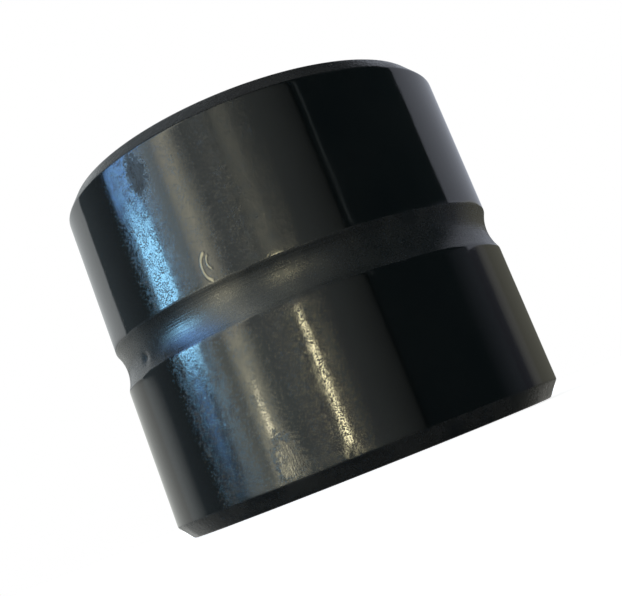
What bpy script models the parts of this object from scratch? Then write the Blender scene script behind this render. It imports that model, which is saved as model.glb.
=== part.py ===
"""Rigid sleeve coupling for two keyed shafts, in metres, with +Z along the bore.

The origin is the centre of the lower end face. The keyway is in the +Y side of the bore, with two
set screws over it, and two more set screws a quarter turn round, on the -X side, bear on the shafts.
"""

import math

import bmesh
import bpy
from mathutils import Matrix

# Sleeve
OUTER_RADIUS = 0.050
LENGTH = 0.0877
MIDDLE = LENGTH / 2
LEAD_CHAMFER_HEIGHT = 0.0037  # along the bore
LEAD_CHAMFER_DEPTH = 0.0030  # towards the axis
BORE_RADIUS = 0.025
BORE_CHAMFER = 0.0015

# Round-bottomed groove round the outside
GROOVE_CENTRE = 0.0436
GROOVE_WIDTH = 0.0102
GROOVE_DEPTH = 0.00125

# Parallel keys, 14 x 9 x 36 with round ends, and the keyway that takes them
KEY_WIDTH = 0.014
KEY_HEIGHT = 0.009
KEY_LENGTH = 0.036
KEY_EDGE = 0.0005
KEY_SETBACK = 0.004  # from the end face to the key's end
KEYWAY_DEPTH = 0.0038  # beyond the bore's wall
KEY_GAP = 0.0003  # over the key
KEY_SIDE_GAP = 0.00015

# M12 set screws, plain over their threads, and their holes
THREAD_RADIUS = 0.006
THREAD_GAP = 0.00015  # taken off the screw and added to the hole
SCREW_CHAMFER = 0.0007
TIP_RADIUS = 0.003
TIP_NECK = 0.0017  # from the tip's end up to the cone under the threads
SCREW_CONE = 0.0034  # from the tip's end up to the threads
SOCKET_FLATS = 0.006
SOCKET_DEPTH = 0.006
SOCKET_POINT = 0.5  # height of the socket's pointed floor over its radius
COUNTERSINK = 0.0008
KEY_SCREW_LENGTH = 0.016
SHAFT_SCREW_LENGTH = 0.020
SCREW_HEIGHTS = {"lower": 0.0200, "upper": 0.0670}  # of the screws' axes above the lower end face

# Brass thrust pad that swivels on each screw's tip
PAD_RADIUS = 0.005
PAD_THICKNESS = 0.0035
PAD_EDGE = 0.0003
PAD_SOCKET_RADIUS = 0.0034
PAD_SOCKET_DEPTH = 0.0017
PAD_GAP = 0.0003  # from the pad to the key or the shaft, and from the tip to the pad's floor

# Internal retaining ring in the middle of the bore, where the shafts stop
RING_SLOT_RADIUS = 0.0265
RING_THICKNESS = 0.002
RING_SIDE_GAP = 0.0003
RING_RADIUS = 0.0262
RING_INNER_RADIUS = 0.0224
RING_OFFSET = 0.0008  # from the axis to the inner edge's centre, towards the ring's gap
RING_HALF_GAP = math.radians(11)
LUG_RADIUS = 0.0030
LUG_REACH = 0.0227  # from the axis to the lug's centre
LUG_HOLE_RADIUS = 0.00125

TURNED_STEPS = 120
SMALL_STEPS = 36
PAST_SURFACE = 1.1  # how far a cutter runs, as a share of what it has to clear
MERGE = 0.00001
SHARP_ANGLE = math.radians(25)

PARTS = "rigid_sleeve_coupling"
CUTTERS = "cutters"

FINISHES = {  # colour, metallic, roughness
    "black_oxide": ((0.012, 0.014, 0.016), 0.5, 0.25),
    "bright_steel": ((0.52, 0.53, 0.54), 1.0, 0.35),
    "black_screw": ((0.03, 0.03, 0.033), 0.7, 0.4),
    "brass": ((0.72, 0.50, 0.20), 1.0, 0.3),
    "spring_steel": ((0.07, 0.065, 0.06), 0.8, 0.45),
}


def clear_scene():
    for thing in list(bpy.data.objects):
        bpy.data.objects.remove(thing)


def add_collection(name):
    made = bpy.data.collections.new(name)
    bpy.context.scene.collection.children.link(made)


def finish_material(name):
    found = bpy.data.materials.get(name)
    if found:
        return found
    colour, metallic, roughness = FINISHES[name]
    made = bpy.data.materials.new(name)
    made.use_nodes = True
    shader = made.node_tree.nodes["Principled BSDF"]
    shader.inputs["Base Color"].default_value = (*colour, 1)
    shader.inputs["Metallic"].default_value = metallic
    shader.inputs["Roughness"].default_value = roughness
    return made


def add_piece(name, data, place, finish):
    """One named sub-part, in the coupling's collection."""
    made = bpy.data.objects.new(name, data)
    made.matrix_world = place
    data.materials.append(finish_material(finish))
    bpy.data.collections[PARTS].objects.link(made)
    return made


def add_cutter(name, data, place):
    made = bpy.data.objects.new(name, data)
    made.matrix_world = place
    made.hide_render = True
    made.display_type = "WIRE"
    bpy.data.collections[CUTTERS].objects.link(made)
    return made


def outline_mesh(name, outline, closed=False):
    """A profile in the XZ plane, from (radius, height) points that run down its outer side."""
    points = [(radius, 0, height) for radius, height in outline]
    edges = [(i, i + 1) for i in range(len(points) - 1)]
    if closed:
        edges.append((len(points) - 1, 0))
    made = bpy.data.meshes.new(name)
    made.from_pydata(points, edges, [])
    return made


def turn(thing, steps):
    """Turns an object's profile about its own Z axis."""
    screw = thing.modifiers.new("turn", "SCREW")
    screw.steps = steps
    screw.render_steps = steps
    screw.use_merge_vertices = True
    screw.merge_threshold = MERGE


def cut(thing, cutter):
    boolean = thing.modifiers.new("cut " + cutter.name, "BOOLEAN")
    boolean.operation = "DIFFERENCE"
    boolean.object = cutter


def evaluated_mesh(thing):
    bpy.context.view_layer.update()
    graph = bpy.context.evaluated_depsgraph_get()
    return bpy.data.meshes.new_from_object(thing.evaluated_get(graph))


def plate_mesh(name, outlines, thickness):
    """A flat plate in the XY plane from closed outlines, the first of which holds the others."""
    curve = bpy.data.curves.new(name, "CURVE")
    curve.dimensions = "2D"
    curve.fill_mode = "BOTH"
    curve.extrude = thickness / 2
    for outline in outlines:
        spline = curve.splines.new("POLY")
        spline.points.add(len(outline) - 1)
        for point, (x, y) in zip(spline.points, outline):
            point.co = (x, y, 0, 1)
        spline.use_cyclic_u = True
    guide = add_cutter(name + " outline", curve, Matrix())
    made = evaluated_mesh(guide)
    bpy.data.objects.remove(guide)
    shape = bmesh.new()
    shape.from_mesh(made)
    bmesh.ops.remove_doubles(shape, verts=shape.verts, dist=MERGE)
    shape.to_mesh(made)
    shape.free()
    return made


def arc(centre, radius, start, end, count):
    """Points round part of a circle, both ends included."""
    turns = [start + (end - start) * i / (count - 1) for i in range(count)]
    return [(centre[0] + radius * math.cos(t), centre[1] + radius * math.sin(t)) for t in turns]


def circle(centre, radius, count):
    return arc(centre, radius, 0, 2 * math.pi, count + 1)[:-1]


def groove_outline(count=11):
    """The groove's round bottom, from its upper edge to its lower one."""
    radius = (GROOVE_WIDTH**2 / 4 + GROOVE_DEPTH**2) / (2 * GROOVE_DEPTH)
    half = math.asin(GROOVE_WIDTH / 2 / radius)
    centre = (OUTER_RADIUS - GROOVE_DEPTH + radius, GROOVE_CENTRE)
    return arc(centre, radius, math.pi - half, math.pi + half, count)


def sleeve_outline():
    """Down the outside, across the lower face and back up the bore, past the ring's slot."""
    slot_half = RING_THICKNESS / 2 + RING_SIDE_GAP
    rim = OUTER_RADIUS - LEAD_CHAMFER_DEPTH
    mouth = BORE_RADIUS + BORE_CHAMFER
    return [
        (mouth, LENGTH),
        (rim, LENGTH),
        (OUTER_RADIUS, LENGTH - LEAD_CHAMFER_HEIGHT),
        *groove_outline(),
        (OUTER_RADIUS, LEAD_CHAMFER_HEIGHT),
        (rim, 0),
        (mouth, 0),
        (BORE_RADIUS, BORE_CHAMFER),
        (BORE_RADIUS, MIDDLE - slot_half),
        (RING_SLOT_RADIUS, MIDDLE - slot_half),
        (RING_SLOT_RADIUS, MIDDLE + slot_half),
        (BORE_RADIUS, MIDDLE + slot_half),
        (BORE_RADIUS, LENGTH - BORE_CHAMFER),
    ]


def keyway_cutter():
    """A bar that runs past both end faces, from inside the bore to the keyway's floor."""
    start = BORE_RADIUS / 2
    end = BORE_RADIUS + KEYWAY_DEPTH
    size = (KEY_WIDTH + 2 * KEY_SIDE_GAP, end - start, PAST_SURFACE * LENGTH, 1)
    bar = bmesh.new()
    bmesh.ops.create_cube(bar, matrix=Matrix.Diagonal(size))
    data = bpy.data.meshes.new("keyway")
    bar.to_mesh(data)
    bar.free()
    return add_cutter("keyway", data, Matrix.Translation((0, (start + end) / 2, MIDDLE)))


def radial_place(side, height, radius):
    """A place whose Z axis points straight out of the sleeve, at a height and a distance from the axis."""
    outward = {
        "+Y": Matrix.Rotation(-math.pi / 2, 4, "X"),
        "-X": Matrix.Rotation(-math.pi / 2, 4, "Y"),
    }
    return Matrix.Translation((0, 0, height)) @ outward[side] @ Matrix.Translation((0, 0, radius))


def screw_hole_cutter(name, side, height):
    """A hole at the thread's size, open into the bore, with a countersunk mouth."""
    radius = THREAD_RADIUS + THREAD_GAP
    past = OUTER_RADIUS * PAST_SURFACE
    flare = COUNTERSINK + past - OUTER_RADIUS
    inside = BORE_RADIUS / 2
    outline = [(0, past), (radius + flare, past), (radius, past - flare), (radius, inside), (0, inside)]
    made = add_cutter(name, outline_mesh(name, outline), radial_place(side, height, 0))
    turn(made, SMALL_STEPS)
    return made


def add_sleeve():
    profile = outline_mesh("sleeve_body", sleeve_outline(), closed=True)
    sleeve = add_piece("sleeve_body", profile, Matrix(), "black_oxide")
    turn(sleeve, TURNED_STEPS)
    cut(sleeve, keyway_cutter())
    for end, height in SCREW_HEIGHTS.items():
        cut(sleeve, screw_hole_cutter(f"key screw hole {end}", "+Y", height))
        cut(sleeve, screw_hole_cutter(f"shaft screw hole {end}", "-X", height))


def key_outline():
    """Round at both ends, with its length along Y."""
    radius = KEY_WIDTH / 2
    reach = KEY_LENGTH / 2 - radius
    upper = arc((0, reach), radius, 0, math.pi, 13)
    lower = arc((0, -reach), radius, math.pi, 2 * math.pi, 13)
    return upper + lower


def add_key(name, low_end):
    """A key that fills its part of the keyway and stands out into the bore."""
    middle = BORE_RADIUS + KEYWAY_DEPTH - KEY_GAP - KEY_HEIGHT / 2
    place = Matrix.Translation((0, middle, low_end + KEY_LENGTH / 2)) @ Matrix.Rotation(math.pi / 2, 4, "X")
    key = add_piece(name, plate_mesh(name, [key_outline()], KEY_HEIGHT), place, "bright_steel")
    edge = key.modifiers.new("edge", "BEVEL")
    edge.width = KEY_EDGE
    edge.segments = 1
    edge.limit_method = "ANGLE"
    edge.angle_limit = math.radians(60)


def lug_centre(side):
    """The centre of the lug on one side of the ring's gap, which is at -Y."""
    angle = -math.pi / 2 + side * (RING_HALF_GAP + math.asin(LUG_RADIUS / LUG_REACH))
    return LUG_REACH * math.cos(angle), LUG_REACH * math.sin(angle)


def ring_inner_reach(angle):
    """Distance from the axis to the ring's inner edge: a circle set off centre, or a lug's round end."""
    from_gap = angle + math.pi / 2
    off_centre = RING_OFFSET * math.sin(from_gap)
    reach = RING_OFFSET * math.cos(from_gap) + math.sqrt(RING_INNER_RADIUS**2 - off_centre**2)
    for side in (-1, 1):
        x, y = lug_centre(side)
        from_lug = angle - math.atan2(y, x)
        across = LUG_REACH * math.sin(from_lug)
        if math.cos(from_lug) > 0 and abs(across) < LUG_RADIUS:
            lug_reach = LUG_REACH * math.cos(from_lug) - math.sqrt(LUG_RADIUS**2 - across**2)
            reach = min(reach, lug_reach)
    return reach


def ring_outline():
    """Round the outer edge from one side of the gap to the other, and back along the inner edge."""
    start = -math.pi / 2 + RING_HALF_GAP
    end = 3 * math.pi / 2 - RING_HALF_GAP
    count = 150
    turns = [end + (start - end) * i / (count - 1) for i in range(count)]
    inner = [(ring_inner_reach(t) * math.cos(t), ring_inner_reach(t) * math.sin(t)) for t in turns]
    return arc((0, 0), RING_RADIUS, start, end, 61) + inner


def add_stop_ring():
    holes = [circle(lug_centre(side), LUG_HOLE_RADIUS, 16) for side in (-1, 1)]
    plate = plate_mesh("centre_stop_ring", [ring_outline(), *holes], RING_THICKNESS)
    add_piece("centre_stop_ring", plate, Matrix.Translation((0, 0, MIDDLE)), "spring_steel")


def set_screw_outline(length):
    """From the outer end, which has the socket, down to the round tip that sits in the pad."""
    radius = THREAD_RADIUS - THREAD_GAP
    nose = TIP_NECK / 2
    bends = [math.radians(angle) for angle in (0, 30, 60)]
    round_tip = [(TIP_RADIUS * math.cos(t), nose - nose * math.sin(t)) for t in bends]
    return [
        (0, length),
        (radius - SCREW_CHAMFER, length),
        (radius, length - SCREW_CHAMFER),
        (radius, SCREW_CONE),
        (TIP_RADIUS, TIP_NECK),
        *round_tip,
        (0, 0),
    ]


def add_set_screw(name, place, length):
    screw = add_piece(name, outline_mesh(name, set_screw_outline(length)), place, "black_screw")
    turn(screw, SMALL_STEPS)
    corner = SOCKET_FLATS / math.sqrt(3)
    floor = length - SOCKET_DEPTH
    past = PAST_SURFACE * length
    outline = [(0, past), (corner, past), (corner, floor), (0, floor - SOCKET_POINT * corner)]
    socket = add_cutter(name + " socket", outline_mesh(name + " socket", outline), place)
    turn(socket, 6)
    cut(screw, socket)


def add_pad(name, place):
    floor = PAD_THICKNESS - PAD_SOCKET_DEPTH
    outline = [
        (0, floor),
        (PAD_SOCKET_RADIUS, floor),
        (PAD_SOCKET_RADIUS, PAD_THICKNESS),
        (PAD_RADIUS - PAD_EDGE, PAD_THICKNESS),
        (PAD_RADIUS, PAD_THICKNESS - PAD_EDGE),
        (PAD_RADIUS, PAD_EDGE),
        (PAD_RADIUS - PAD_EDGE, 0),
        (0, 0),
    ]
    pad = add_piece(name, outline_mesh(name, outline), place, "brass")
    turn(pad, SMALL_STEPS)


def add_screw_and_pad(role, end, side, seat, length):
    """A set screw on its pad, whose inner face stands at the seat's distance from the axis."""
    height = SCREW_HEIGHTS[end]
    tip = seat + PAD_THICKNESS - PAD_SOCKET_DEPTH + PAD_GAP
    add_pad(f"{role}_screw_pad_{end}", radial_place(side, height, seat))
    add_set_screw(f"{role}_set_screw_{end}", radial_place(side, height, tip), length)


def settle_pieces():
    """Applies each piece's modifiers, then shades it smooth between its sharp edges."""
    for piece in bpy.data.collections[PARTS].objects:
        shape = evaluated_mesh(piece)
        shape.shade_smooth()
        shape.set_sharp_from_angle(angle=SHARP_ANGLE)
        piece.modifiers.clear()
        piece.data = shape


def main():
    clear_scene()
    add_collection(PARTS)
    add_collection(CUTTERS)
    add_sleeve()
    add_key("key_lower", KEY_SETBACK)
    add_key("key_upper", LENGTH - KEY_SETBACK - KEY_LENGTH)
    add_stop_ring()
    for end in SCREW_HEIGHTS:
        add_screw_and_pad("key", end, "+Y", BORE_RADIUS + KEYWAY_DEPTH, KEY_SCREW_LENGTH)
        add_screw_and_pad("shaft", end, "-X", BORE_RADIUS + PAD_GAP, SHAFT_SCREW_LENGTH)
    settle_pieces()


main()
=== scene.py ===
"""Looks of the rigid sleeve coupling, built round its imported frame, in metres."""

import math

import bmesh
import bpy
import numpy as np
from mathutils import Matrix, Vector, noise


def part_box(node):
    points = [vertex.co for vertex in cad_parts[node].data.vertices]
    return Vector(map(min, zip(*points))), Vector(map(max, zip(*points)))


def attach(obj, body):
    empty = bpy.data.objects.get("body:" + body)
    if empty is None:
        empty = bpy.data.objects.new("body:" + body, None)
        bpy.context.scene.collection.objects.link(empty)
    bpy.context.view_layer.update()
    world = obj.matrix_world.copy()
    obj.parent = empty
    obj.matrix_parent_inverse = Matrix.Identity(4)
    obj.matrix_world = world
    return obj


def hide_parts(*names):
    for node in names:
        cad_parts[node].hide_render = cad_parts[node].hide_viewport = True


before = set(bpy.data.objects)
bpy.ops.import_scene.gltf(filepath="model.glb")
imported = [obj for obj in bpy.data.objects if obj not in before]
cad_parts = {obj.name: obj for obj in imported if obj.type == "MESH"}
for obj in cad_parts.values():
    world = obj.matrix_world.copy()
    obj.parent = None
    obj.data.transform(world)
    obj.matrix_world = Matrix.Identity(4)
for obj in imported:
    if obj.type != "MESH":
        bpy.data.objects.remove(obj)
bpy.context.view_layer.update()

MM = 0.001

# Read from the frame
SLEEVE_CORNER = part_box("sleeve_body")[1]
OUTER_RADIUS = SLEEVE_CORNER.x
LENGTH = SLEEVE_CORNER.z
CENTRE = Vector((0, 0, LENGTH / 2))

# Sleeve, as the CAD part has it
RIM_CHAMFER_HEIGHT = 3.7 * MM
RIM_CHAMFER_DEPTH = 3.0 * MM
GROOVE_CENTRE = 43.6 * MM
GROOVE_WIDTH = 10.2 * MM
GROOVE_DEPTH = 1.25 * MM
BORE_RADIUS = 25 * MM
BORE_CHAMFER = 1.5 * MM
SLOT_RADIUS = 26.5 * MM
SLOT_WIDTH = 2.6 * MM
KEYWAY_WIDTH = 14.3 * MM
KEYWAY_FLOOR = 28.8 * MM

# Keys, stop ring, set screws and thrust pads, as the CAD part has them
KEY_WIDTH = 14 * MM
KEY_EDGE = 0.5 * MM
RING_THICKNESS = 2 * MM
RING_RADIUS = 26.2 * MM
RING_INNER_RADIUS = 22.4 * MM
RING_OFFSET = 0.8 * MM
RING_HALF_GAP = math.radians(11)
RING_EDGE = 0.12 * MM
LUG_RADIUS = 3.0 * MM
LUG_REACH = 22.7 * MM
LUG_HOLE_RADIUS = 1.25 * MM
PITCH = 1.75 * MM
THREAD_MAJOR = 5.85 * MM
THREAD_MINOR = 4.85 * MM
HOLE_CLEARANCE = 0.15 * MM
HOLE_MINOR = 5.15 * MM
COUNTERSINK = 6.95 * MM
TIP_RADIUS = 3 * MM
TIP_NECK = 1.7 * MM
SOCKET_FLATS = 6 * MM
SOCKET_DEPTH = 6 * MM
PAD_RADIUS = 5 * MM
PAD_THICKNESS = 3.5 * MM
PAD_SOCKET_RADIUS = 3.4 * MM
PAD_SOCKET_DEPTH = 1.7 * MM
PAD_EDGE = 0.25 * MM

# Turns that lay the Z axis along each row's screws: the key screws point to +Y, the shaft screws to -X
OUTWARD = {
    "key": Matrix.Rotation(-math.pi / 2, 4, "X"),
    "shaft": Matrix.Rotation(-math.pi / 2, 4, "Y"),
}
ENDS = ("lower", "upper")

# The sleeve's material slots, in the order that sleeve_finishes gives them
LAND, GROOVE, CHAMFER, FACE, BORE, MILLED, THREADS = range(7)

# Fineness of the meshes
SLEEVE_STEPS = 320
SLEEVE_LONGEST_SIDE = 1.1 * MM
ROUND_STEPS = 64
PAD_STEPS = 96
THREAD_STEPS = 48
PROFILE_SHARES = [k / 32 for k in (0, 2, 7, 12, 16, 20, 25, 30)]
ON_AXIS = 1e-9
SAME_PLACE = 1e-7

# Azimuths of lights and marks are counted from the sleeve's front, which is halfway from -Y to +X
FRONT_AZIMUTH = 45
PANEL_DISTANCE = 1.0

# The camera's place in metres, its angles in degrees and its lens in millimetres
CAMERA_DISTANCE = 257.66 * MM
CAMERA_HEIGHT = 3.2 * MM
CAMERA_PITCH = 9.36
CAMERA_ROLL = 21.57
CAMERA_AIM = 0.25
CAMERA_LENS = 58.72

# The white shell all round, and the floor inside it, in metres
SHELL_RADIUS = 4
FLOOR_RADIUS = 3.9


# ---------------------------------------------------------------- camera, light and stage


def outward(azimuth):
    """Level and away from the axis, at that many degrees to the right of the front."""
    a = math.radians(FRONT_AZIMUTH + azimuth)
    return Vector((math.sin(a), -math.cos(a), 0))


def add_object(name, data):
    """A new object in the scene, with that mesh, light, camera or curve."""
    made = bpy.data.objects.new(name, data)
    bpy.context.scene.collection.objects.link(made)
    return made


def mesh_data(name, shape):
    """Mesh data from a bmesh, which is freed."""
    data = bpy.data.meshes.new(name)
    shape.to_mesh(data)
    shape.free()
    return data


def add_camera():
    """Just above the floor, close up, looking a little upwards, and rolled to the left."""
    data = bpy.data.cameras.new("camera")
    data.lens = CAMERA_LENS
    data.clip_start = 0.01
    camera = add_object("camera", data)
    camera.location = outward(0) * CAMERA_DISTANCE + Vector((0, 0, CAMERA_HEIGHT))
    facing = Matrix.Rotation(math.radians(FRONT_AZIMUTH - CAMERA_AIM), 4, "Z")
    facing = facing @ Matrix.Rotation(math.radians(90 + CAMERA_PITCH), 4, "X")
    facing = facing @ Matrix.Rotation(math.radians(-CAMERA_ROLL), 4, "Z")
    camera.rotation_euler = facing.to_euler()
    bpy.context.scene.camera = camera


def flat(name, left, right, low, high, colour, radiance, fall=1.0, crisp=8, lean=0, ends=None):
    """An upright panel light between two azimuths from the front and two elevations.

    Its strength goes evenly to the share fall of itself at its right edge. Its sides fade as
    1 - x^crisp, and its top and bottom as 1 - x^ends. It leans by that many degrees.
    """
    light = bpy.data.lights.new(name, "AREA")
    light.shape = "RECTANGLE"
    light.size = 2 * PANEL_DISTANCE * math.tan(math.radians(right - left) / 2)
    bottom = PANEL_DISTANCE * math.tan(math.radians(low))
    top = PANEL_DISTANCE * math.tan(math.radians(high))
    light.size_y = top - bottom
    light.color = colour
    light.energy = radiance * math.pi * light.size * light.size_y
    light.use_nodes = True
    fade_edges(light.node_tree, fall, crisp, ends or crisp)
    panel = add_object(name, light)
    away = outward((left + right) / 2)
    panel.location = CENTRE + away * PANEL_DISTANCE + Vector((0, 0, (top + bottom) / 2))
    upright = away.to_track_quat("Z", "Y").to_matrix()
    panel.rotation_euler = (upright @ Matrix.Rotation(math.radians(lean), 3, "Z")).to_euler()
    panel.visible_camera = False
    return panel


def fade_edges(tree, fall, crisp, ends):
    """A light's strength over its width and height."""
    nodes, links = tree.nodes, tree.links
    nodes.clear()
    place = nodes.new("ShaderNodeNewGeometry")
    split = nodes.new("ShaderNodeSeparateXYZ")
    links.new(place.outputs["Parametric"], split.inputs[0])
    faded = maths(tree, "MULTIPLY_ADD", split.outputs["X"], fall - 1, 1)
    for side, power in (("X", crisp), ("Y", ends)):
        centred = maths(tree, "MULTIPLY_ADD", split.outputs[side], 2, -1)
        away = maths(tree, "ABSOLUTE", centred)
        fade = maths(tree, "SUBTRACT", 1, maths(tree, "POWER", away, power))
        faded = maths(tree, "MULTIPLY", faded, fade)
    shine = nodes.new("ShaderNodeEmission")
    links.new(maths(tree, "MULTIPLY", faded, dim_low_down(tree, place)), shine.inputs["Strength"])
    links.new(shine.outputs[0], nodes.new("ShaderNodeOutputLight").inputs[0])


def dim_low_down(tree, place):
    """The room gets darker from the object's height down to the floor."""
    split = tree.nodes.new("ShaderNodeSeparateXYZ")
    tree.links.new(place.outputs["Position"], split.inputs[0])
    ramp = tree.nodes.new("ShaderNodeMapRange")
    tree.links.new(split.outputs["Z"], ramp.inputs["Value"])
    for name, value in (("From Min", -0.6), ("From Max", 0.0), ("To Min", 0.15), ("To Max", 1.0)):
        ramp.inputs[name].default_value = value
    return ramp.outputs[0]


def maths(tree, operation, *values):
    """A Math node on numbers or on other nodes' outputs."""
    node = tree.nodes.new("ShaderNodeMath")
    node.operation = operation
    for socket, value in zip(node.inputs, values):
        if isinstance(value, (int, float)):
            socket.default_value = value
        else:
            tree.links.new(value, socket)
    return node.outputs[0]


def add_lights():
    """A dim room: pale walls behind, a blue window on the left, and warm strips of light ahead.

    Each row gives the name, both azimuths, both elevations, the colour and the radiance, and then
    fall, crisp, lean and ends as flat explains them.
    """
    flat("left_wall", -186, -104, -50, 10, (0.97, 1.0, 0.96), 1.0, 0.3, 4, ends=60)
    flat("left_wall_upper", -181, -120.5, 10, 42, (0.94, 0.99, 1.0), 0.62, 1.25, 40)
    flat("left_wall_top", -185, -110, 36, 75, (0.88, 0.96, 1.0), 0.34)
    flat("dark_wall", -124, -60, -50, 60, (0.72, 0.9, 1.0), 0.2, 0.15, ends=60)
    flat("window", -80.8, -66, 7.5, 17.9, (0.30, 0.68, 1.0), 12.3, 1.0, 60)
    flat("window_top", -88, -66, 18.3, 48, (0.2, 0.46, 1.0), 4.6, 1.0, 8, ends=60)
    flat("window_sill", -78.3, -70.5, 0, 9, (0.2, 0.47, 1.0), 1.9, 1.0, 3, -35)
    flat("blue_wall_upper", -84, -48, 10, 60, (0.5, 0.78, 1.0), 0.55, 1.0, 6, ends=60)
    flat("blue_wall", -80, -62, -50, 11, (0.4, 0.7, 1.0), 0.3, 1.0, 6, ends=60)
    flat("grey_wall_upper", -66, -30.4, 10, 60, (0.92, 1.0, 0.98), 0.95, 0.6, 30, ends=60)
    flat("grey_wall", -68, -29.6, -50, 11, (0.92, 1.0, 0.94), 1.0, 0.57, 12, ends=60)
    flat("warm_strip", -50.5, -35.5, -45, 60, (1.0, 0.93, 0.68), 1.7, 0.9, 2, ends=60)
    flat("warm_foot", -44.5, -40.5, -20, 5, (1.0, 0.9, 0.58), 7.5, 1.0, 4, ends=12)
    flat("front_wall", -31.6, 34, -50, 60, (0.92, 1.0, 0.96), 0.55, 0.12, 30)
    flat("lamp_strip", -7.4, -4.4, -3, 8.6, (1.0, 0.9, 0.55), 17.5, 1.0, 4, ends=16)
    flat("lamp_foot", -9, -3.4, -12, 1.5, (1.0, 0.9, 0.55), 3, 1.0, 4)
    flat("lamp_glow", -13, -2, 9, 60, (1.0, 0.95, 0.7), 0.5, 1.0, 4, ends=40)
    flat("door_gap", 36.8, 38.4, 9, 60, (0.9, 1.0, 1.0), 0.15, 1.0, 4, ends=40)
    flat("right_gloom", 34, 106, -50, 60, (0.6, 0.9, 1.0), 0.03, 1.0, 24)
    flat("right_wall", 105, 181, 10, 42, (0.82, 0.87, 1.0), 0.44, 1.5, 60)
    flat("right_wall_top", 60, 176, 40, 75, (0.9, 0.95, 1.0), 0.05)
    flat("right_haze", 84, 126, -40, 11, (0.8, 0.82, 1.0), 0.03, 5.0, 3, ends=60)
    flat("right_floor", 112, 172, -40, 11, (1.0, 0.98, 0.8), 0.29, 0.25, 4, ends=60)
    flat("back_wall", 158, 184, -40, 11, (0.95, 0.98, 1.0), 0.2, 2, 4, ends=60)
    flat("back_glow", 135, 215, -38, -8, (1.0, 0.98, 0.94), 0.9, 1.0, 2)
    overhead("ceiling", 1.1, 0.7, 0.12)


def overhead(name, height, size, radiance):
    """A square panel light that looks straight down."""
    light = bpy.data.lights.new(name, "AREA")
    light.size = size
    light.energy = radiance * math.pi * size**2
    lamp = add_object(name, light)
    lamp.location = (0, 0, height)
    return lamp


def light_small_pieces(pieces):
    """Bright panels above, behind and in front, for the pieces inside the sleeve only."""
    chosen = bpy.data.collections.new("small_pieces")
    for piece in pieces:
        chosen.objects.link(piece)
    for lamp in (
        overhead("small_pieces_top", 0.9, 1.2, 5),
        flat("small_pieces_back", 150, 210, 5, 50, (1.0, 0.98, 0.95), 3, 1.0, 4),
        flat("small_pieces_front", -30, 30, 5, 50, (1.0, 0.98, 0.95), 1.5, 1.0, 4),
    ):
        lamp.light_linking.receiver_collection = chosen


def white_shell():
    """White all round behind the object, seen by the camera only."""
    shape = bmesh.new()
    bmesh.ops.create_uvsphere(shape, u_segments=48, v_segments=24, radius=SHELL_RADIUS)
    data = mesh_data("backdrop", shape)
    shell = add_object("backdrop", data)
    made = bpy.data.materials.new("backdrop")
    made.use_nodes = True
    tree = made.node_tree
    tree.nodes.clear()
    shine = tree.nodes.new("ShaderNodeEmission")
    out = tree.nodes.new("ShaderNodeOutputMaterial")
    tree.links.new(shine.outputs[0], out.inputs["Surface"])
    data.materials.append(made)
    shell.visible_glossy = False
    shell.visible_diffuse = False
    shell.visible_shadow = False


def add_floor():
    """A wide pale disc that the object stands on. It glows with painted light, a little dimmer near the
    object, and melts into the white all round it.
    """
    shape = bmesh.new()
    bmesh.ops.create_circle(shape, cap_ends=True, segments=96, radius=FLOOR_RADIUS)
    data = mesh_data("floor", shape)
    floor = add_object("floor", data)
    floor.location.z = -0.1 * MM
    n = Nodes("floor")
    mottle = n.noise(60, 3)
    # Painted light: the floor glows by emission, less within about 40 mm of the object, which paints it
    # slightly darker round the object
    away = n.spread(n.vector("LENGTH", n.place), 40, 350)
    glow = n.maths("MULTIPLY_ADD", away, 0.2, 0.86)
    n.shader.inputs["Emission Color"].default_value = (1, 1, 1, 1)
    n.link(glow, n.shader.inputs["Emission Strength"])
    colour = n.colours(mottle, (0.3, (0.82, 0.82, 0.82)), (0.7, (0.86, 0.86, 0.86)))
    data.materials.append(n.finish(colour, n.spread(mottle, 0.3, 0.7, 0.85, 0.95), n.bump(mottle, 0.1)))
    floor.visible_glossy = False
    floor.visible_shadow = False


def add_world():
    """A trace of cold light from everywhere."""
    world = bpy.data.worlds.new("room")
    bpy.context.scene.world = world
    world.use_nodes = True
    background = world.node_tree.nodes["Background"]
    background.inputs["Color"].default_value = (0.6, 0.9, 1.0, 1)
    background.inputs["Strength"].default_value = 0.006


def set_look():
    """Plain colours, as the photo shows them."""
    view = bpy.context.scene.view_settings
    view.view_transform = "Standard"
    view.look = "None"


# ---------------------------------------------------------------- materials

# Upright bands where the oil is rubbed off: azimuth, half width in millimetres, strength
RUBBED = ((-33.2, 4.9, 1.0), (-4, 5.0, 0.7), (-19, 3.0, 0.35))
# Two knocks near the groove: azimuth, then height, radius and width in millimetres
CRESCENTS = ((-19.6, 52.4, 1.7, 0.5), (-18.9, 53.2, 0.8, 0.4))
# Spots: azimuth, then height, size and raggedness in millimetres, and how much taller than wide
RUBBED_FOOT = (-17, 4, 6, 3, 1.0)
SCRAPE = (-30, 78.5, 2.9, 2.6, 1.9)
SMEAR = (-10, 64, 6.5, 3, 1.6)
STREAKS = (-18, 8, 3.5, 2, 1.7)
# How the wiped streaks of the smear run: azimuth, rise to the right in degrees, squeeze
WIPED = (-10, 20, 0.22)
BARE_STEEL = (0.62, 0.55, 0.38, 1)
OXIDE_IOR = 1.8
FACE_IOR = 1.9

# The Mix node's sockets when it mixes colours
MIX_SHARE, MIX_FIRST, MIX_SECOND, MIX_RESULT = 0, 6, 7, 2


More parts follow.
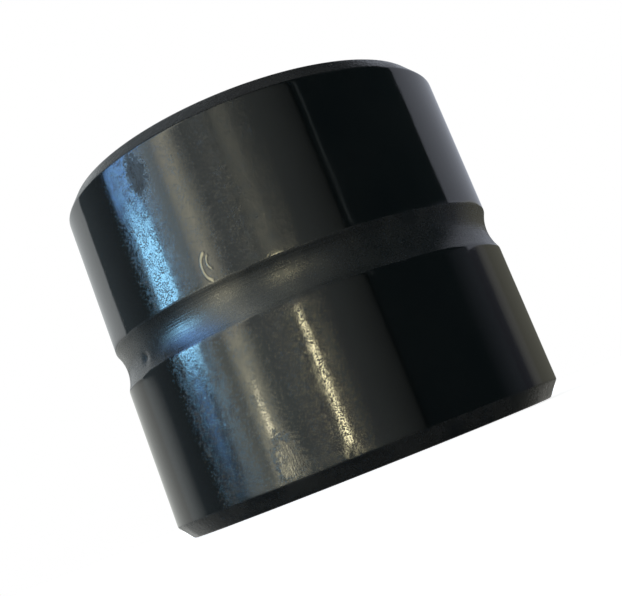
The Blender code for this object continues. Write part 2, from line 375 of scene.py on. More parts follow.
class Nodes:
    """Short calls for building one material's node tree. Textures use object space in millimetres."""

    def __init__(self, name):
        self.material = bpy.data.materials.new(name)
        self.material.use_nodes = True
        self.tree = self.material.node_tree
        self.shader = self.tree.nodes["Principled BSDF"]
        place = self.tree.nodes.new("ShaderNodeTexCoord")
        self.place = self.vector("SCALE", place.outputs["Object"], scale=1000)

    def link(self, value, socket):
        """Joins another node's output to a socket, or sets the socket to a number or colour."""
        if isinstance(value, bpy.types.NodeSocket):
            self.tree.links.new(value, socket)
        else:
            socket.default_value = value

    def vector(self, operation, first, second=None, scale=None):
        """A Vector Math node's result."""
        node = self.tree.nodes.new("ShaderNodeVectorMath")
        node.operation = operation
        self.link(first, node.inputs[0])
        if second is not None:
            self.link(second, node.inputs[1])
        if scale is not None:
            node.inputs["Scale"].default_value = scale
        return node.outputs["Value" if operation in ("LENGTH", "DOT_PRODUCT") else "Vector"]

    def maths(self, operation, *values):
        """A Math node's result."""
        return maths(self.tree, operation, *values)

    def stretched(self, stretch, turn=(0, 0, 0)):
        """The place in millimetres, turned and then squeezed along each axis."""
        node = self.tree.nodes.new("ShaderNodeMapping")
        self.tree.links.new(self.place, node.inputs["Vector"])
        node.inputs["Rotation"].default_value = [math.radians(angle) for angle in turn]
        node.inputs["Scale"].default_value = stretch
        return node.outputs[0]

    def noise(self, size, detail=3, roughness=0.5, place=None, distortion=0):
        """Noise whose blotches are about that many millimetres across."""
        node = self.tree.nodes.new("ShaderNodeTexNoise")
        self.link(place if place is not None else self.place, node.inputs["Vector"])
        node.inputs["Scale"].default_value = 1 / size
        node.inputs["Detail"].default_value = detail
        node.inputs["Roughness"].default_value = roughness
        node.inputs["Distortion"].default_value = distortion
        return node.outputs["Fac"]

    def cells(self, size):
        """The distance from scattered points that are about that many millimetres apart."""
        node = self.tree.nodes.new("ShaderNodeTexVoronoi")
        self.link(self.place, node.inputs["Vector"])
        node.inputs["Scale"].default_value = 1 / size
        return node.outputs["Distance"]

    def spread(self, value, low, high, to_low=0.0, to_high=1.0):
        """Stretches the part of a value between low and high over the range asked for."""
        node = self.tree.nodes.new("ShaderNodeMapRange")
        node.interpolation_type = "SMOOTHSTEP"
        self.link(value, node.inputs["Value"])
        node.inputs["From Min"].default_value = low
        node.inputs["From Max"].default_value = high
        node.inputs["To Min"].default_value = to_low
        node.inputs["To Max"].default_value = to_high
        return node.outputs["Result"]

    def colours(self, value, *stops):
        """Colours along a value, from stops of (value, colour)."""
        node = self.tree.nodes.new("ShaderNodeValToRGB")
        self.link(value, node.inputs["Fac"])
        ramp = node.color_ramp
        while len(ramp.elements) < len(stops):
            ramp.elements.new(1)
        for element, (position, colour) in zip(ramp.elements, stops):
            element.position = position
            element.color = (*colour, 1)
        return node.outputs["Color"]

    def blend(self, share, first, second):
        """The first colour where the share is 0, going over to the second where it is 1."""
        node = self.tree.nodes.new("ShaderNodeMix")
        node.data_type = "RGBA"
        self.link(share, node.inputs[MIX_SHARE])
        self.link(first, node.inputs[MIX_FIRST])
        self.link(second, node.inputs[MIX_SECOND])
        return node.outputs[MIX_RESULT]

    def bump(self, height, distance, under=None):
        """Raises the surface by that many millimetres times the height, over another bump."""
        node = self.tree.nodes.new("ShaderNodeBump")
        node.inputs["Strength"].default_value = 1.0
        node.inputs["Distance"].default_value = distance * MM
        self.link(height, node.inputs["Height"])
        if under is not None:
            self.link(under, node.inputs["Normal"])
        return node.outputs["Normal"]

    def finish(self, colour, roughness, normal, metallic=0.0, ior=None):
        """The finished material. The shader keeps its own IOR where none is given."""
        self.link(colour, self.shader.inputs["Base Color"])
        self.link(roughness, self.shader.inputs["Roughness"])
        self.link(normal, self.shader.inputs["Normal"])
        self.link(metallic, self.shader.inputs["Metallic"])
        if ior is not None:
            self.shader.inputs["IOR"].default_value = ior
        return self.material


def offset_from(n, azimuth, height):
    """The way from a spot on the outside to the place that is shaded, in millimetres."""
    spot = outward(azimuth) * OUTER_RADIUS / MM + Vector((0, 0, height))
    return n.vector("SUBTRACT", n.place, spot)


def near(n, azimuth, height, size, ragged, stretch):
    """1 at a spot on the outside, fading to 0 over a ragged edge that many millimetres away."""
    offset = offset_from(n, azimuth, height)
    away = n.vector("LENGTH", n.vector("MULTIPLY", offset, (1, 1, 1 / stretch)))
    away = n.maths("ADD", away, n.spread(n.noise(1.2, 5, 0.75), 0, 1, -ragged, ragged))
    return n.spread(away, 0.7 * size, 1.1 * size, 1, 0)


def band(n, azimuth, half_width, ripple):
    """1 on an upright band of the outside, fading to 0 over its rippled sides."""
    sideways = n.vector("DOT_PRODUCT", n.place, outward(azimuth + 90))
    facing = n.vector("DOT_PRODUCT", n.place, outward(azimuth))
    aside = n.maths("ADD", n.maths("ABSOLUTE", sideways), ripple)
    inside = n.spread(aside, 0.8 * half_width, 1.2 * half_width, 1, 0)
    return n.maths("MULTIPLY", inside, n.spread(facing, 0, 12))


def along(n, azimuth, rise, squeeze):
    """The place laid flat at an azimuth, squeezed along a line that rises to the right."""
    right = outward(azimuth + 90)
    tilt = math.radians(rise)
    run = right * math.cos(tilt) + Vector((0, 0, math.sin(tilt)))
    climb = Vector((0, 0, math.cos(tilt))) - right * math.sin(tilt)
    flat_place = n.tree.nodes.new("ShaderNodeCombineXYZ")
    n.link(n.vector("DOT_PRODUCT", n.place, run * squeeze), flat_place.inputs[0])
    n.link(n.vector("DOT_PRODUCT", n.place, climb), flat_place.inputs[1])
    return flat_place.outputs[0]


def crescent(n, azimuth, height, radius, width):
    """The left half of a thin raised ring, such as a knock with a round tool leaves."""
    offset = offset_from(n, azimuth, height)
    away = n.vector("LENGTH", n.vector("MULTIPLY", offset, (1, 1, 0.55)))
    from_ring = n.maths("ABSOLUTE", n.maths("SUBTRACT", away, radius))
    to_right = n.vector("DOT_PRODUCT", offset, outward(azimuth + 90))
    left_half = n.spread(to_right, -0.6, 0.5, 1, 0)
    return n.maths("MULTIPLY", n.spread(from_ring, 0, width, 1, 0), left_half)


def rubbed_share(n):
    """How far the oil is rubbed off: a spot at the lower edge, and upright bands."""
    ripple = n.spread(n.noise(0.5, 3, 0.8), 0, 1, -7, 7)
    rubbed = n.maths("MULTIPLY", near(n, *RUBBED_FOOT), 0.5)
    for azimuth, half_width, strength in RUBBED:
        across = n.maths("MULTIPLY", band(n, azimuth, half_width, ripple), strength)
        rubbed = n.maths("MAXIMUM", rubbed, across)
    return rubbed


def speckle(n, rubbed):
    """Fine pits in clusters, where the oil is rubbed off."""
    pits = n.spread(n.noise(0.32, 2, 0.6), 0.5, 0.64)
    clusters = n.spread(n.noise(2.2, 3, 0.6), 0.4, 0.6, 0.15, 1.0)
    return n.maths("MULTIPLY", n.maths("MULTIPLY", pits, clusters), rubbed)


def oiled_roughness(n, rubbed, specks, smeared, wipe):
    """Glossy, and duller on the oil film, the scrape, the specks and the wiped smear."""
    film = n.spread(n.noise(5, 5, 0.65, n.stretched((1, 1, 0.5)), 0.3), 0.5, 0.6)
    dull = n.maths("MULTIPLY", film, n.spread(rubbed, 0, 1, 0.02, 0.05))
    scrape = n.maths("MULTIPLY", near(n, *SCRAPE), 0.55)
    wiped = n.maths("MULTIPLY", smeared, n.spread(wipe, 0.45, 0.6, 0, 0.16))
    roughness = n.maths("ADD", n.maths("ADD", dull, 0.07), scrape)
    roughness = n.maths("ADD", roughness, n.maths("MULTIPLY", specks, 0.14))
    return n.maths("ADD", roughness, wiped)


def oiled_bumps(n, blotch, rubbed, specks, smeared, wipe):
    """Slow waves, wiped streaks, the rubbed metal's texture, stray pits and streaks at the foot."""
    ragged = n.noise(0.55, 3, 0.7)
    sparse = n.spread(n.cells(1.7), 0.0, 0.13, 1, 0)
    streaks = n.noise(0.5, 3, 0.6, n.stretched((1, 1, 0.12)))
    normal = n.bump(blotch, 0.03)
    wiped = n.maths("MULTIPLY", wipe, n.spread(smeared, 0, 1, 0.15, 1))
    normal = n.bump(wiped, 0.013, under=normal)
    textured = n.maths("MULTIPLY", ragged, n.spread(rubbed, 0, 1, 0.06, 1))
    normal = n.bump(textured, 0.012, under=normal)
    normal = n.bump(specks, 0.045, under=normal)
    normal = n.bump(sparse, 0.012, under=normal)
    return n.bump(n.maths("MULTIPLY", streaks, near(n, *STREAKS)), 0.06, under=normal)


def oiled_black():
    """Ground steel, black oxide and a wiped-on film of oil."""
    n = Nodes("oiled_black_land")
    blotch = n.noise(12, 4, 0.6)
    wipe = n.noise(1.6, 4, 0.65, along(n, *WIPED), 0.3)
    smeared = near(n, *SMEAR)
    rubbed = rubbed_share(n)
    specks = speckle(n, rubbed)
    roughness = oiled_roughness(n, rubbed, specks, smeared, wipe)
    normal = oiled_bumps(n, blotch, rubbed, specks, smeared, wipe)
    bare = 0
    for azimuth, height, radius, width in CRESCENTS:
        knock = crescent(n, azimuth, height, radius, width)
        normal = n.bump(knock, 0.04, under=normal)
        bare = n.maths("MAXIMUM", bare, n.spread(knock, 0.3, 0.9, 0, 0.45))
    colour = n.colours(blotch, (0.3, (0.0006, 0.001, 0.0012)), (0.7, (0.002, 0.0024, 0.0024)))
    colour = n.blend(bare, colour, BARE_STEEL)
    return n.finish(colour, roughness, normal, bare, ior=OXIDE_IOR)


def matte_black(name, low, high, ridge, shift=0.02, grit=0.008):
    """Turned steel under black oxide, without oil, and with fine rings round the axis.

    Its roughness goes from low to high. The rings are ridge wide and raised by shift, and the
    grains by grit, in millimetres.
    """
    n = Nodes(name)
    blotch = n.noise(7, 4, 0.6)
    rings = n.noise(ridge, 3, 0.6, n.stretched((0.02, 0.02, 1)))
    grain = n.noise(0.5, 3, 0.6)
    rough = n.noise(1.3, 4, 0.7)
    colour = n.colours(blotch, (0.3, (0.004, 0.005, 0.006)), (0.7, (0.009, 0.010, 0.010)))
    uneven = n.spread(grain, 0.3, 0.7, -0.04, 0.04)
    roughness = n.maths("ADD", n.spread(blotch, 0.35, 0.65, low, high), uneven)
    normal = n.bump(rings, shift)
    normal = n.bump(grain, grit, under=normal)
    normal = n.bump(rough, 2 * grit, under=normal)
    return n.finish(colour, roughness, normal, ior=OXIDE_IOR)


def faced_black():
    """An end face turned on a lathe: rings round the bore, black oxide, rubbed brighter in places."""
    n = Nodes("faced_black")
    radius = n.vector("LENGTH", n.vector("MULTIPLY", n.place, (1, 1, 0)))
    ring = n.tree.nodes.new("ShaderNodeCombineXYZ")
    n.tree.links.new(radius, ring.inputs[0])
    fine = n.noise(0.5, 3, 0.6, ring.outputs[0])
    wide = n.noise(2.2, 2, 0.5, ring.outputs[0])
    blotch = n.noise(9, 5, 0.65)
    scuffs = n.spread(n.noise(0.6, 4, 0.7, n.stretched((0.15, 1, 1), (0, 0, 30))), 0.6, 0.7)
    rubbed = n.maths("ADD", n.spread(blotch, 0.3, 0.7, 0.1, 0.6), n.spread(fine, 0.3, 0.7, 0, 0.35))
    colour = n.colours(rubbed, (0.1, (0.014, 0.015, 0.017)), (0.9, (0.042, 0.043, 0.044)))
    uneven = n.spread(wide, 0.3, 0.7, -0.05, 0.05)
    roughness = n.maths("ADD", n.spread(blotch, 0.35, 0.65, 0.24, 0.36), uneven)
    normal = n.bump(wide, 0.05)
    normal = n.bump(fine, 0.04, under=normal)
    normal = n.bump(scuffs, 0.006, under=normal)
    return n.finish(colour, roughness, normal, ior=FACE_IOR)


def bare_metal(name, stretch, dark, bright, low, high, metallic=1.0):
    """Bare metal with fine lines along one axis and darker stains."""
    n = Nodes(name)
    lines = n.noise(0.35, 4, 0.6, n.stretched(stretch))
    stain = n.noise(7, 4, 0.65, distortion=0.5)
    colour = n.colours(stain, (0.3, dark), (0.65, bright))
    uneven = n.spread(lines, 0.3, 0.7, -0.05, 0.05)
    roughness = n.maths("ADD", n.spread(stain, 0.3, 0.7, high, low), uneven)
    normal = n.bump(lines, 0.012)
    normal = n.bump(n.noise(0.5, 3), 0.005, under=normal)
    return n.finish(colour, roughness, normal, metallic)


# ---------------------------------------------------------------- shapes


def arc_points(centre, radius, start, end, count):
    """Points along an arc, both ends among them."""
    angles = [start + (end - start) * i / (count - 1) for i in range(count)]
    return [(centre[0] + radius * math.cos(a), centre[1] + radius * math.sin(a)) for a in angles]


def rounded(corners, count=4):
    """A closed outline of (radius, height, slot) with its corners rounded.

    Each corner is (radius, height, rounding, slot of the next side).
    """
    outline = []
    for i, (x, z, rounding, slot) in enumerate(corners):
        before = Vector(corners[i - 1][:2])
        here = Vector((x, z))
        after = Vector(corners[(i + 1) % len(corners)][:2])
        if not rounding:
            outline.append((x, z, slot))
            continue
        into, out = (before - here).normalized(), (after - here).normalized()
        for step in range(count + 1):
            t = step / count
            curve = here + into * rounding * (1 - t) ** 2 + out * rounding * t**2
            outline.append((curve.x, curve.y, slot if step else corners[i - 1][3]))
    return outline


def split_sides(outline, longest):
    """Adds points so that no side is longer than asked."""
    points = []
    for i, (x, z, slot) in enumerate(outline):
        next_x, next_z = outline[(i + 1) % len(outline)][:2]
        across, up = next_x - x, next_z - z
        count = max(1, math.ceil(math.hypot(across, up) / longest))
        points += [(x + across * k / count, z + up * k / count, slot) for k in range(count)]
    return points


def ring_of_verts(shape, radius, height, steps, bend):
    """One ring round Z, or the same vertex again and again where it is on the axis."""
    if radius < ON_AXIS:
        return [shape.verts.new((0, 0, height))] * steps
    ring = []
    for i in range(steps):
        a = 2 * math.pi * i / steps
        r, z = bend(radius, a, height) if bend else (radius, height)
        ring.append(shape.verts.new((r * math.cos(a), r * math.sin(a), z)))
    return ring


def turned(name, outline, steps, closed=True, bend=None):
    """Mesh data of an outline of (radius, height, slot) turned round Z.

    The outline runs down its outer side. One that isn't closed starts and ends on the axis.
    """
    shape = bmesh.new()
    rings = [ring_of_verts(shape, radius, height, steps, bend) for radius, height, _slot in outline]
    sides = len(rings) if closed else len(rings) - 1
    for k in range(sides):
        upper, lower = rings[k], rings[(k + 1) % len(rings)]
        for i in range(steps):
            j = (i + 1) % steps
            corners = list(dict.fromkeys((upper[i], lower[i], lower[j], upper[j])))
            if len(corners) > 2:
                shape.faces.new(corners).material_index = outline[k][2]
    return mesh_data(name, shape)


def shade(data, angle=30):
    """Smooth, except along edges sharper than that many degrees."""
    data.shade_smooth()
    data.set_sharp_from_angle(angle=math.radians(angle))


def baked_copy(thing):
    """Mesh data of the object as its modifiers leave it."""
    bpy.context.view_layer.update()
    graph = bpy.context.evaluated_depsgraph_get()
    return bpy.data.meshes.new_from_object(thing.evaluated_get(graph))


def baked(thing):
    """Gives the object its mesh with the modifiers applied."""
    made = baked_copy(thing)
    thing.modifiers.clear()
    thing.data = made


def combine(thing, tools, operation):
    """Cuts the tools out of a piece, or joins them to it, and removes them."""
    for tool in tools:
        modifier = thing.modifiers.new(tool.name, "BOOLEAN")
        modifier.operation = operation
        modifier.solver = "MANIFOLD"
        modifier.object = tool
    baked(thing)
    for tool in tools:
        bpy.data.objects.remove(tool)


# Small dents: azimuth, then height, radius and depth in millimetres
DENTS = ((-53, 42.0, 1.0, 0.5), (-2.5, 4.2, 1.0, 0.2))
# The waves run on a cylinder of that many millimetres; the rest is in metres
WORN_RADIUS = 50
WORN_DEPTH = 4 * MM
EDGE_REACH = 1.2 * MM
EDGE_WAVE = 0.18 * MM
SLOW_WAVE = 0.010 * MM
SHORT_WAVE = 0.004 * MM


def worn(radius, angle, height):
    """The ground surface isn't quite true: slow waves, uneven groove edges and a few dents."""
    if radius < OUTER_RADIUS - WORN_DEPTH:
        return radius, height
    where = Vector((math.cos(angle) * WORN_RADIUS, math.sin(angle) * WORN_RADIUS, height / MM))
    radius += SLOW_WAVE * noise.noise(where / 7) + SHORT_WAVE * noise.noise(where / 2.5)
    from_edge = min(abs(height - GROOVE_CENTRE - side * GROOVE_WIDTH / 2) for side in (-1, 1))
    if from_edge < EDGE_REACH:
        height += EDGE_WAVE * (1 - from_edge / EDGE_REACH) * noise.noise(where / 4)
    for azimuth, at, size, depth in DENTS:
        centre = outward(azimuth) * WORN_RADIUS + Vector((0, 0, at))
        away = (where - centre).length / size
        if away < 3:
            radius -= depth * MM * math.exp(-away * away)
    return radius, height


def sleeve_outline():
    """Corners of the sleeve's section, from the upper bore edge outwards and down."""
    high, low = GROOVE_CENTRE + GROOVE_WIDTH / 2, GROOVE_CENTRE - GROOVE_WIDTH / 2
    floor_radius = (GROOVE_WIDTH**2 / 4 + GROOVE_DEPTH**2) / (2 * GROOVE_DEPTH)
    half = math.asin(GROOVE_WIDTH / 2 / floor_radius)
    centre = (OUTER_RADIUS - GROOVE_DEPTH + floor_radius, GROOVE_CENTRE)
    hollow = arc_points(centre, floor_radius, math.pi - half, math.pi + half, 15)[1:-1]
    rim = OUTER_RADIUS - RIM_CHAMFER_DEPTH
    mouth = BORE_RADIUS + BORE_CHAMFER
    slot_low, slot_high = LENGTH / 2 - SLOT_WIDTH / 2, LENGTH / 2 + SLOT_WIDTH / 2
    edge = 0.35 * MM
    return [
        (mouth, LENGTH, edge, FACE),
        (rim, LENGTH, edge, CHAMFER),
        (OUTER_RADIUS, LENGTH - RIM_CHAMFER_HEIGHT, edge, LAND),
        (OUTER_RADIUS, high, edge, GROOVE),
        *[(x, z, 0, GROOVE) for x, z in hollow],
        (OUTER_RADIUS, low, edge, LAND),
        (OUTER_RADIUS, RIM_CHAMFER_HEIGHT, edge, CHAMFER),
        (rim, 0, edge, FACE),
        (mouth, 0, edge, CHAMFER),
        (BORE_RADIUS, BORE_CHAMFER, edge, BORE),
        (BORE_RADIUS, slot_low, 0.1 * MM, BORE),
        (SLOT_RADIUS, slot_low, 0, BORE),
        (SLOT_RADIUS, slot_high, 0, BORE),
        (BORE_RADIUS, slot_high, 0.1 * MM, BORE),
        (BORE_RADIUS, LENGTH - BORE_CHAMFER, edge, CHAMFER),
    ]


def radial_place(role, height):
    """A place on the bore's axis whose Z axis points out along that row's screws."""
    return Matrix.Translation((0, 0, height)) @ OUTWARD[role]


def thread_radius(share, major, minor):
    """The thread's radius at a share of the pitch: a narrow crest, a wide root, straight flanks."""
    from_crest = min(share, 1 - share)
    down = min(max((from_crest - 1 / 16) / (5 / 16), 0), 1)
    return major + (minor - major) * down


def thread_starts(low, high, major, minor):
    """(height, radius) of the thread's profile points at azimuth 0, from below low to above high."""
    first, last = math.floor(low / PITCH) - 2, math.ceil(high / PITCH) + 1
    starts = []
    for turn in range(first, last):
        for share in PROFILE_SHARES:
            starts.append((PITCH * (turn + share), thread_radius(share, major, minor)))
    return starts


def thread_rows(shape, starts, low, high, ends):
    """A row of vertices for each profile point. It climbs one pitch in one turn round Z.

    The rows are cut off at low and high, where the radii in ends are the most that the rod may
    have. Away from its ends it may widen at 45 degrees.
    """
    rows = []
    for start, radius in starts:
        row = []
        for i in range(THREAD_STEPS):
            z = min(max(start + PITCH * i / THREAD_STEPS, low), high)
            r = min(radius, ends[0] + z - low, ends[1] + high - z)
            a = 2 * math.pi * i / THREAD_STEPS
            row.append(shape.verts.new((r * math.cos(a), r * math.sin(a), z)))
        rows.append(row)
    return rows


def add_thread_faces(shape, rows, low, high):
    """Joins each row to the next, and the end of each row to the row that goes on one turn up."""
    turn = len(PROFILE_SHARES)
    for j in range(len(rows) - 1 - turn):
        for i in range(THREAD_STEPS):
            wrap = turn * ((i + 1) // THREAD_STEPS)
            right = (i + 1) % THREAD_STEPS
            near_side = (rows[j][i], rows[j + wrap][right])
            far_side = (rows[j + 1 + wrap][right], rows[j + 1][i])
            heights = [corner.co.z for corner in (*near_side, *far_side)]
            if max(heights) > low and min(heights) < high:
                shape.faces.new((*near_side, *far_side))


def close_ends(shape):
    """Removes spare vertices, merges those in the same place, and fills both ends."""
    spare = [vert for vert in shape.verts if not vert.link_faces]
    bmesh.ops.delete(shape, geom=spare, context="VERTS")
    bmesh.ops.remove_doubles(shape, verts=shape.verts, dist=SAME_PLACE)
    bmesh.ops.dissolve_degenerate(shape, edges=shape.edges, dist=SAME_PLACE)
    rims = [edge for edge in shape.edges if edge.is_boundary]
    bmesh.ops.holes_fill(shape, edges=rims, sides=0)
    bmesh.ops.recalc_face_normals(shape, faces=shape.faces)


def threaded_rod(name, low, high, major, minor, ends):
    """Mesh data of a right-handed threaded rod along Z.

    A crest passes azimuth 0 at every whole pitch above the origin, so that a rod and its hole match.
    """
    shape = bmesh.new()
    starts = thread_starts(low, high, major, minor)
    rows = thread_rows(shape, starts, low, high, ends)
    add_thread_faces(shape, rows, low, high)
    close_ends(shape)
    return mesh_data(name, shape)


def make_tool(name, data, place, finish_slot=LAND):
    """An object to cut with or to join on, all in one material slot."""
    made = add_object(name, data)
    made.matrix_world = place
    data.polygons.foreach_set("material_index", [finish_slot] * len(data.polygons))
    return made


def plain(points):
    """An outline of (radius, height, slot) from points, all in the first slot."""
    return [(x, z, 0) for x, z in points]


def screw_hole_tools(role, height):
    """A tapped hole right through the wall, and its countersunk mouth."""
    place = radial_place(role, height)
    start, end = BORE_RADIUS - 5 * MM, OUTER_RADIUS + 3 * MM
    major = THREAD_MAJOR + HOLE_CLEARANCE
    tap = threaded_rod("tap", start, end, major, HOLE_MINOR, (4 * MM, 4 * MM))
    beyond, narrow = 2 * MM, 5 * MM
    top, mouth = OUTER_RADIUS + beyond, COUNTERSINK + beyond
    bottom = top - mouth + narrow
    cone = plain([(0, top), (mouth, top), (narrow, bottom), (0, bottom)])
    sink = turned("sink", cone, ROUND_STEPS, closed=False)
    return [make_tool("tap", tap, place, THREADS), make_tool("sink", sink, place, CHAMFER)]


def keyway_tool():
    """A block that cuts the keyway from end to end, on the +Y side of the bore."""
    start, end = BORE_RADIUS / 2, KEYWAY_FLOOR
    shape = bmesh.new()
    size = Matrix.Diagonal((KEYWAY_WIDTH, end - start, 1.2 * LENGTH, 1))
    bmesh.ops.create_cube(shape, matrix=size)
    place = Matrix.Translation((0, (start + end) / 2, LENGTH / 2))
    return make_tool("keyway", mesh_data("keyway", shape), place, MILLED)


def middle(node):
    """The middle of a CAD node's box at rest."""
    low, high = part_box(node)
    return (low + high) / 2


def add_sleeve(finishes):
    """The turned sleeve with its keyway and its four tapped holes cut out."""
    outline = split_sides(rounded(sleeve_outline()), SLEEVE_LONGEST_SIDE)
    sleeve = add_object("sleeve", turned("sleeve", outline, SLEEVE_STEPS, bend=worn))
    tools = [keyway_tool()]
    for role in OUTWARD:
        for end in ENDS:
            tools += screw_hole_tools(role, middle(f"{role}_set_screw_{end}").z)
    for thing in [sleeve, *tools]:
        for finish in finishes:
            thing.data.materials.append(finish)
    combine(sleeve, tools, "DIFFERENCE")
    shade(sleeve.data, 28)
    settle(sleeve, "sleeve", "sleeve_black", "sleeve_body")


def settle(piece, body, slot, *nodes):
    """Ties a piece to its body and hides the CAD nodes that it stands for. The slot is not used."""
    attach(piece, body)
    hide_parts(*nodes)


def set_screw_parts(tip, length):
    """A threaded body, and the nose that sits in the pad, along Z from the sleeve's axis."""
    ends = (4.0 * MM, THREAD_MINOR - 0.1 * MM)
    body = threaded_rod("body", tip + 2.6 * MM, tip + length, THREAD_MAJOR, THREAD_MINOR, ends)
    bulge = TIP_NECK / 2
    slopes = np.linspace(0, math.pi / 2, 9)[:-1]
    ball = [(TIP_RADIUS * math.cos(t), tip + bulge - bulge * math.sin(t)) for t in slopes]
    inside, shoulder, stem_radius = tip + 4.5 * MM, tip + 2.7 * MM, 3.9 * MM
    stem = [(0, inside), (stem_radius, inside), (stem_radius, shoulder), (TIP_RADIUS, tip + TIP_NECK)]
    nose = turned("nose", plain([*stem, *ball, (0, tip)]), ROUND_STEPS, closed=False)
    return body, nose


def socket_parts(top):
    """The hexagonal socket with its pointed floor, and the bevel round its mouth."""
    corner = SOCKET_FLATS / math.sqrt(3)
    above, floor = top + 1 * MM, top - SOCKET_DEPTH
    hexagon = plain([(0, above), (corner, above), (corner, floor), (0, floor - corner / 2)])
    wide, narrow, slope = corner + 1.2 * MM, 2.8 * MM, 0.577
    rim = top + 0.5 * MM
    foot = rim - (wide - narrow) * slope
    bevel = plain([(0, rim), (wide, rim), (narrow, foot), (0, foot)])
    return (
        turned("hexagon", hexagon, 6, closed=False),
        turned("bevel", bevel, ROUND_STEPS, closed=False),
    )


def add_set_screw(role, end, finish):
    """One threaded set screw, with its nose joined on and its socket cut out."""
    node = f"{role}_set_screw_{end}"
    low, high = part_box(node)
    size = high - low
    reach, length = (high.y, size.y) if role == "key" else (-low.x, size.x)
    place = radial_place(role, middle(node).z)
    body, nose = set_screw_parts(reach - length, length)
    screw = add_object(f"set_screw_{role}_{end}", body)
    screw.matrix_world = place
    combine(screw, [make_tool("nose", nose, place)], "UNION")
    sockets = [make_tool("socket", part, place) for part in socket_parts(reach)]
    combine(screw, sockets, "DIFFERENCE")
    screw.data.materials.clear()
    screw.data.materials.append(finish)
    shade(screw.data)
    settle(screw, node, "screw_black", node)
    return screw


def add_pad(role, end, finish):
    """One thrust pad: a short round piece with a hollow for the screw's nose."""
    node = f"{role}_screw_pad_{end}"
    low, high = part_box(node)
    seat = low.y if role == "key" else -high.x
    top = seat + PAD_THICKNESS
    floor = top - PAD_SOCKET_DEPTH
    section = rounded(
        [
            (PAD_SOCKET_RADIUS, floor, PAD_EDGE, 0),
            (PAD_SOCKET_RADIUS, top, PAD_EDGE, 0),
            (PAD_RADIUS, top, PAD_EDGE, 0),
            (PAD_RADIUS, seat, PAD_EDGE, 0),
            (0, seat, 0, 0),
            (0, floor, 0, 0),
        ]
    )
    outline = [section[-1], *section[:-1]]
    pad = add_object(f"thrust_pad_{role}_{end}", turned("pad", outline, PAD_STEPS, closed=False))
    pad.matrix_world = radial_place(role, middle(node).z)
    pad.data.materials.append(finish)
    shade(pad.data, 40)
    settle(pad, node, "pad_brass", node)
    return pad


def outline_data(name, outlines, thickness):
    """Mesh data of a flat plate from closed outlines, the first of which holds the others."""
    curve = bpy.data.curves.new(name, "CURVE")
    curve.dimensions = "2D"
    curve.fill_mode = "BOTH"
    curve.extrude = thickness / 2
    for outline in outlines:
        spline = curve.splines.new("POLY")
        spline.points.add(len(outline) - 1)
        for point, (x, y) in zip(spline.points, outline):
            point.co = (x, y, 0, 1)
        spline.use_cyclic_u = True
    guide = add_object(name + "_outline", curve)
    data = baked_copy(guide)
    bpy.data.objects.remove(guide)
    shape = bmesh.new()
    shape.from_mesh(data)
    bmesh.ops.remove_doubles(shape, verts=shape.verts, dist=1e-6)
    shape.to_mesh(data)
    shape.free()
    return data


def plate(name, outlines, thickness, edge, place):
    """A flat piece with rounded edges."""
    made = add_object(name, outline_data(name, outlines, thickness))
    made.matrix_world = place
    bevel = made.modifiers.new("edge", "BEVEL")
    bevel.width = edge
    bevel.segments = 3
    bevel.limit_method = "ANGLE"
    bevel.angle_limit = math.radians(60)
    baked(made)
    shade(made.data)
    return made


def add_key(end, finish):
    """One parallel key with round ends."""
    node = "key_" + end
    low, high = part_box(node)
    size = high - low
    radius = KEY_WIDTH / 2
    reach = size.z / 2 - radius
    top_end = arc_points((0, reach), radius, 0, math.pi, 41)
    bottom_end = arc_points((0, -reach), radius, math.pi, 2 * math.pi, 41)
    place = Matrix.Translation(middle(node)) @ Matrix.Rotation(math.pi / 2, 4, "X")
    key = plate("parallel_key_" + end, [top_end + bottom_end], size.y, KEY_EDGE, place)
    key.data.materials.append(finish)
    settle(key, node, "key_steel", node)
    return key


def lug_centre(side):
    """The centre of the lug on one side of the ring's gap, which is at -Y."""
    angle = -math.pi / 2 + side * (RING_HALF_GAP + math.asin(LUG_RADIUS / LUG_REACH))
    return LUG_REACH * math.cos(angle), LUG_REACH * math.sin(angle)


def ring_inner_reach(angle):
    """Distance from the axis to the ring's inner edge: a circle set off centre, or a lug's round end."""
    from_gap = angle + math.pi / 2
    off_centre = RING_OFFSET * math.sin(from_gap)
    reach = RING_OFFSET * math.cos(from_gap) + math.sqrt(RING_INNER_RADIUS**2 - off_centre**2)
    for side in (-1, 1):
        x, y = lug_centre(side)
        from_lug = angle - math.atan2(y, x)
        across = LUG_REACH * math.sin(from_lug)
        if math.cos(from_lug) > 0 and abs(across) < LUG_RADIUS:
            reach = min(reach, LUG_REACH * math.cos(from_lug) - math.sqrt(LUG_RADIUS**2 - across**2))
    return reach


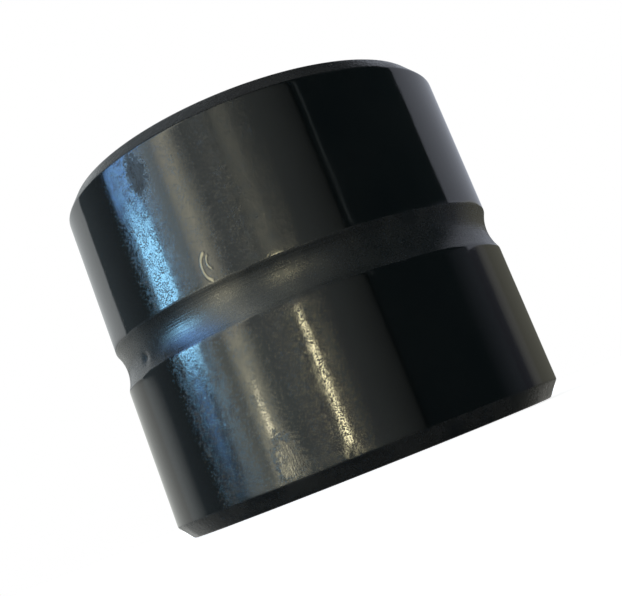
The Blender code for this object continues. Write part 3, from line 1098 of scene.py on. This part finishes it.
def add_stop_ring(finish):
    """The centre stop ring, which rides with the sleeve."""
    start, end = -math.pi / 2 + RING_HALF_GAP, 3 * math.pi / 2 - RING_HALF_GAP
    outline = arc_points((0, 0), RING_RADIUS, start, end, 181)
    for angle in np.linspace(end, start, 260):
        reach = ring_inner_reach(angle)
        outline.append((reach * math.cos(angle), reach * math.sin(angle)))
    centres = [lug_centre(side) for side in (-1, 1)]
    holes = [arc_points(centre, LUG_HOLE_RADIUS, 0, 2 * math.pi, 33)[:-1] for centre in centres]
    place = Matrix.Translation((0, 0, middle("centre_stop_ring").z))
    ring = plate("stop_ring", [outline, *holes], RING_THICKNESS, RING_EDGE, place)
    ring.data.materials.append(finish)
    settle(ring, "sleeve", "ring_spring", "centre_stop_ring")
    return ring


def sleeve_finishes():
    """The sleeve's materials, in the order of its slots."""
    return [
        oiled_black(),
        matte_black("matte_black_groove", 0.23, 0.3, 0.3, 0.05, 0.004),
        matte_black("turned_black_chamfer", 0.18, 0.32, 0.4, 0.02, 0.05),
        faced_black(),
        matte_black("bored_black", 0.28, 0.4, 0.3),
        matte_black("milled_black", 0.35, 0.5, 0.4),
        matte_black("thread_black", 0.3, 0.4, 0.4),
    ]


def small_finishes():
    """The bare metals of the keys, the stop ring, the set screws and the thrust pads."""
    along_key, all_ways, blurred = (1, 1, 0.03), (1, 1, 1), (0.3, 0.3, 0.3)
    dull_steel, clean_steel = (0.42, 0.41, 0.4), (0.62, 0.62, 0.63)
    dark_spring, worn_spring = (0.06, 0.055, 0.05), (0.15, 0.145, 0.14)
    black_screw, worn_screw = (0.045, 0.045, 0.048), (0.1, 0.1, 0.103)
    dull_brass, clean_brass = (0.42, 0.28, 0.12), (0.78, 0.56, 0.26)
    return (
        bare_metal("drawn_key_steel", along_key, dull_steel, clean_steel, 0.22, 0.36, 0.7),
        bare_metal("spring_steel", blurred, dark_spring, worn_spring, 0.34, 0.5),
        bare_metal("black_screw_steel", all_ways, black_screw, worn_screw, 0.28, 0.42, 0.8),
        bare_metal("turned_brass", all_ways, dull_brass, clean_brass, 0.2, 0.35, 0.85),
    )


def main():
    """The camera, the room and then every piece."""
    add_camera()
    add_world()
    add_lights()
    white_shell()
    add_floor()
    set_look()
    add_sleeve(sleeve_finishes())
    key_steel, spring, screw, brass = small_finishes()
    small = [add_stop_ring(spring)]
    for end in ENDS:
        small.append(add_key(end, key_steel))
        for role in OUTWARD:
            small += [add_set_screw(role, end, screw), add_pad(role, end, brass)]
    light_small_pieces(small)


main()
